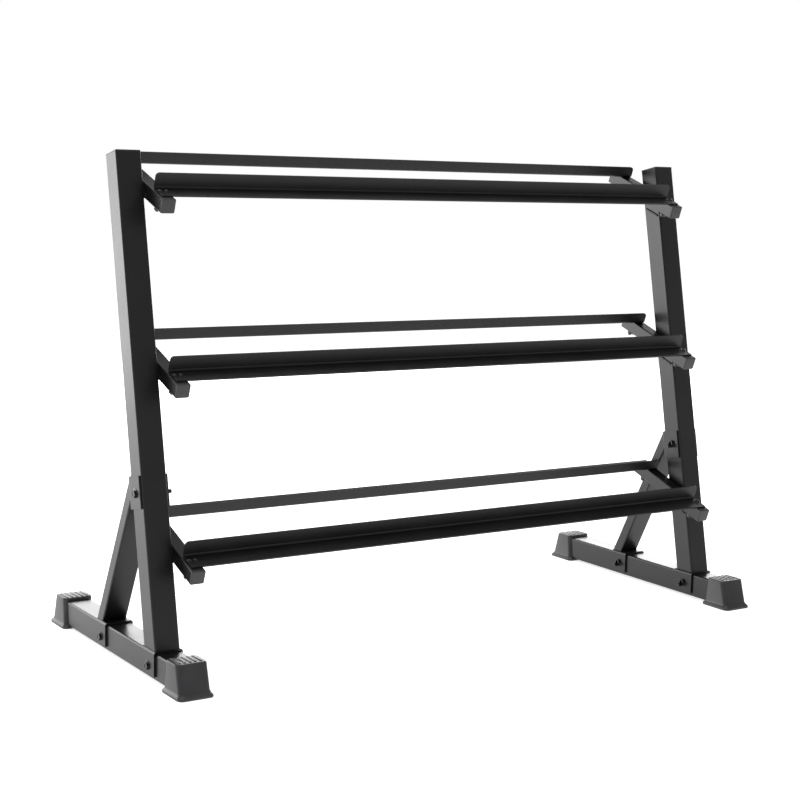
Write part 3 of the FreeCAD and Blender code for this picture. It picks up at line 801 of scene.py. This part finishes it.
@dataclass
class RailBolts:
    """Domed bolts down through the rails and arms, with a washer and a nut underneath."""

    plan: Plan
    shank: float = 3.0
    dome: float = 5.0
    head: float = 3.0
    flats: float = 10.0
    nut: float = 5.0
    washer: float = 5.5
    washer_height: float = 1.2
    thread_showing: float = 2.5
    socket: float = 2.0
    socket_depth: float = 1.4
    shank_root: float = 0.5
    ring_edge: float = 0.25
    bore_play: float = 0.15
    abreast: int = 2

    def _bolt(self) -> bpy.types.Object:
        """Model a bolt from under its domed head, shank below."""
        length = (self.plan.rail_thickness + self.plan.arm_height + self.washer_height + self.nut
                  + self.thread_showing)
        piece = start_object(bpy.ops.mesh.primitive_uv_sphere_add, "dome_pattern", segments=32,
                             ring_count=16, radius=self.dome * MM, location=(0, 0, 0))
        edit(piece, "FACE", lambda face: True)
        bpy.ops.mesh.bisect(plane_co=(0, 0, SLACK * MM), plane_no=(0, 0, -1), clear_outer=True,
                            use_fill=True)
        leave()
        piece.scale = (1, 1, self.head / self.dome)
        only(piece)
        bpy.ops.object.transform_apply(location=True, rotation=True, scale=True)
        socket = start_cylinder("socket", 6, self.socket, self.head - self.socket_depth, self.head + CLEAR)
        cut_out(piece, socket)
        shank = start_cylinder("shank", 24, self.shank, -length, self.shank_root)
        cut_out(piece, shank, "UNION")
        return tidy(piece)

    def _ring(self, name: str, sides: int, radius: float, height: float) -> bpy.types.Object:
        """Model a bored washer or nut below the XY plane."""
        piece = start_cylinder(name, sides, radius, -height, 0)
        bevel_edges(piece, self.ring_edge, 2, is_level)
        cut_out(piece, start_cylinder("bore", 24, self.shank + self.bore_play, -2 * height, height))
        return tidy(piece)

    def build(self, material: bpy.types.Material) -> None:
        """Model the fasteners and set them at both ends of each rail."""
        bolt = self._bolt()
        washer = self._ring("small_washer_pattern", 40, self.washer, self.washer_height)
        nut = self._ring("small_nut_pattern", 6, self.flats / math.sqrt(3), self.nut)
        for tier in Tier:
            bolts, washers, nuts = [], [], []
            for side in Side:
                for number in range(self.abreast):
                    inner = self.plan.arm_width / 2 - self.plan.rail_bolt_first
                    across = side.value * (inner - number * self.plan.rail_bolt_spacing)
                    for end in End:
                        reach = end.value * self.plan.rail_bolt_reach
                        for places, above in ((bolts, self.plan.rail_thickness),
                                              (washers, -self.plan.arm_height),
                                              (nuts, -self.plan.arm_height - self.washer_height)):
                            spot = self.plan.on_arm(side, tier, reach, above)
                            places.append(spot @ Matrix.Translation(Vector((across, 0, 0)) * MM))
            sets = ((bolt, bolts, "bolts"), (washer, washers, "washers"), (nut, nuts, "nuts"))
            for pattern, places, kind in sets:
                piece = copy_to(pattern, places, f"{tier.value}_rail_{kind}_turned")
                fit_out(piece, material, "fastener_black", f"{tier.value}_rail_{kind}")
        discard(bolt, washer, nut)


@dataclass
class WeldBeads:
    """Rippled weld beads for the joints of the arms with the uprights."""

    plan: Plan
    radius: float = 2.2
    groove: float = 0.8
    ripple: float = 0.18
    pitch: float = 2.0
    # The start of a bead, as a share of its radius, and how far it swells over the first step.
    tip_share: float = 0.55
    first_swell: float = 1.8
    tube_corner: float = 4.0
    corner_shortfall: float = 3.0
    smooth: float = 80.0

    def _bead(self, name: str, length: float) -> bpy.types.Object:
        """Model a bead along its own Z axis, ringed by the ripples of its passes."""
        steps = int(length / self.pitch)
        stride = length / steps / 2 * MM
        piece = start_object(bpy.ops.mesh.primitive_circle_add, name, vertices=12,
                             radius=self.radius * self.tip_share * MM, fill_type="NGON",
                             location=(0, 0, -length / 2 * MM))
        bpy.ops.object.mode_set(mode="EDIT")
        for step in range(2 * steps):
            swell = 1 + self.ripple if step % 2 else 1 / (1 + self.ripple)
            if step == 0:
                swell = self.first_swell
            bpy.ops.mesh.extrude_region_move(TRANSFORM_OT_translate={"value": (0, 0, stride)})
            bpy.ops.transform.resize(value=(swell, swell, 1))
        leave()
        return tidy(piece, self.smooth)

    def build(self, material: bpy.types.Material) -> None:
        """Make four beads for each arm, placed from the edges where it meets its upright."""
        tilt = math.radians(self.plan.lean + self.plan.slope)
        depth = self.plan.arm_height / 2
        level = self._bead("level_bead_pattern", self.plan.tube - 2 * self.tube_corner)
        upright = self._bead("upright_bead_pattern",
                             self.plan.arm_height / math.cos(tilt) - self.corner_shortfall)
        to_face = Matrix.Rotation(math.pi / 2, 4, "X")
        turn = Matrix.Rotation(-tilt, 4, "X")
        for side in Side:
            shift = Matrix.Translation(Vector((side.value * self.plan.arm_width / 2, 0, 0)) * MM)
            levels, uprights = [], []
            for tier in Tier:
                for above in (0.0, -self.plan.arm_height):
                    levels.append(self.plan.on_arm(side, tier, 0, above) @ shift @ to_face)
                for end in End:
                    across = end.value * (self.plan.tube / 2 - self.groove)
                    along = (across - depth * math.sin(tilt)) / math.cos(tilt)
                    uprights.append(self.plan.on_arm(side, tier, along, -depth) @ shift @ turn)
            fit_out(copy_to(level, levels, f"{side.label}_arm_level_welds"), material, "frame_paint")
            fit_out(copy_to(upright, uprights, f"{side.label}_arm_corner_welds"), material, "frame_paint")
        discard(level, upright)


# ---------------------------------------------------------------------------------------------
# Finishes of the CAD frame, and the studio
# ---------------------------------------------------------------------------------------------


def dress_frame(nodes: dict[str, bpy.types.Object], materials: dict[str, bpy.types.Material]) -> None:
    """Give every CAD node the finish of its material slot.

    Args:
        nodes: the frame's nodes by name.
        materials: the finishes by material slot.
    """
    for node in nodes.values():
        for slot in node.material_slots:
            name = slot.material.name.split(".")[0] if slot.material else ""
            slot.material = materials.get(name, slot.material)
        LOG.info("dressed %s", node.name)


@dataclass(frozen=True)
class Softbox:
    """A rectangular soft light, in metres and watts, turned towards a point."""

    name: str
    place: tuple[float, float, float]
    target: tuple[float, float, float]
    sides: tuple[float, float]
    power: float

    def hang(self) -> None:
        """Hang the light and turn it."""
        data = bpy.data.lights.new(self.name, "AREA")
        data.shape = "RECTANGLE"
        data.size, data.size_y = self.sides
        data.energy = self.power
        light = bpy.data.objects.new(self.name, data)
        light.location = self.place
        towards = Vector(self.target) - Vector(self.place)
        light.rotation_euler = towards.to_track_quat("-Z", "Y").to_euler()
        light.visible_camera = False
        bpy.context.scene.collection.objects.link(light)


SOFTBOXES = (
    Softbox("rear_left_panel", (-2.4, 3.0, 1.15), (-1.0, 0.0, 0.6), (3.6, 2.2), 100.0),
    Softbox("rear_right_panel", (2.6, 4.0, 1.4), (0.2, 0.0, 0.2), (5.4, 2.2), 180.0),
    Softbox("overhead_softbox", (-0.4, 0.3, 3.8), (0.0, 0.0, 0.5), (3.6, 3.0), 60.0),
)


@dataclass
class Studio:
    """White floor and background, a panel behind on each side and a softbox overhead."""

    floor_size: float = 60.0
    floor_drop: float = 0.5
    room_level: float = 0.45
    room_white: float = 1.0

    def _floor(self, material: bpy.types.Material) -> None:
        """Lay the floor, just under the feet."""
        floor = start_object(bpy.ops.mesh.primitive_plane_add, "studio_floor", size=self.floor_size,
                             location=(0, 0, -self.floor_drop * MM))
        only(floor)
        bpy.ops.object.transform_apply(location=True, rotation=True, scale=True)
        floor.data.materials.append(material)

    def _room(self) -> None:
        """Light the room evenly, and show it white behind the rack."""
        world = bpy.data.worlds.new("white_room")
        world.use_nodes = True
        tree = world.node_tree
        tree.nodes.clear()
        seen = add_node(tree, "ShaderNodeBackground", {"Color": (1, 1, 1, 1), "Strength": self.room_white})
        fill = add_node(tree, "ShaderNodeBackground", {"Color": (1, 1, 1, 1), "Strength": self.room_level})
        ray = add_node(tree, "ShaderNodeLightPath", {})
        mix = add_node(tree, "ShaderNodeMixShader", {})
        tree.links.new(ray.outputs["Is Camera Ray"], mix.inputs[0])
        tree.links.new(fill.outputs[0], mix.inputs[1])
        tree.links.new(seen.outputs[0], mix.inputs[2])
        add_node(tree, "ShaderNodeOutputWorld", {}, {"Surface": mix.outputs[0]})
        bpy.context.scene.world = world

    def build(self, material: bpy.types.Material) -> None:
        """Set up the floor, the room and the lights."""
        self._floor(material)
        self._room()
        for softbox in SOFTBOXES:
            softbox.hang()


@dataclass
class Viewpoint:
    """Camera in front of the rack, to its left, a little below the top tier."""

    place: tuple[float, float, float] = (-1.8815, -2.8327, 0.9041)
    yaw: float = 33.027
    pitch: float = 7.443
    roll: float = 1.221
    lens: float = 73.5

    def build(self) -> None:
        """Set up the camera."""
        data = bpy.data.cameras.new("camera")
        data.lens = self.lens
        camera = bpy.data.objects.new("camera", data)
        camera.matrix_world = (Matrix.Translation(self.place)
                               @ Matrix.Rotation(math.radians(-self.yaw), 4, "Z")
                               @ Matrix.Rotation(math.radians(90 - self.pitch), 4, "X")
                               @ Matrix.Rotation(math.radians(self.roll), 4, "Z"))
        bpy.context.scene.collection.objects.link(camera)
        bpy.context.scene.camera = camera


def main() -> None:
    """Load the frame and build the details, finishes and studio in order."""
    logging.basicConfig(level=logging.INFO, format="%(name)s: %(message)s")
    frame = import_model()
    coat = POWDER_COAT.build()
    pvc = MOULDED_PVC.build()
    polyethylene = POLYETHYLENE.build()
    oxide = BLACK_OXIDE.build()
    dress_frame(frame["nodes"], {
        "frame_paint": coat, "rail_paint": RAIL_COAT.build(), "foot_rubber": pvc,
        "plug_plastic": polyethylene, "fastener_black": oxide,
    })
    plan = Plan()
    MouldedFeet(plan).build(pvc)
    TubePlugs(plan).build(polyethylene)
    FrameBolts(plan).build(oxide)
    RailBolts(plan).build(oxide)
    WeldBeads(plan).build(coat)
    Studio().build(STUDIO_FLOOR.build())
    Viewpoint().build()
    bpy.context.scene.view_settings.view_transform = "Standard"


if __name__ == "__main__":
    main()
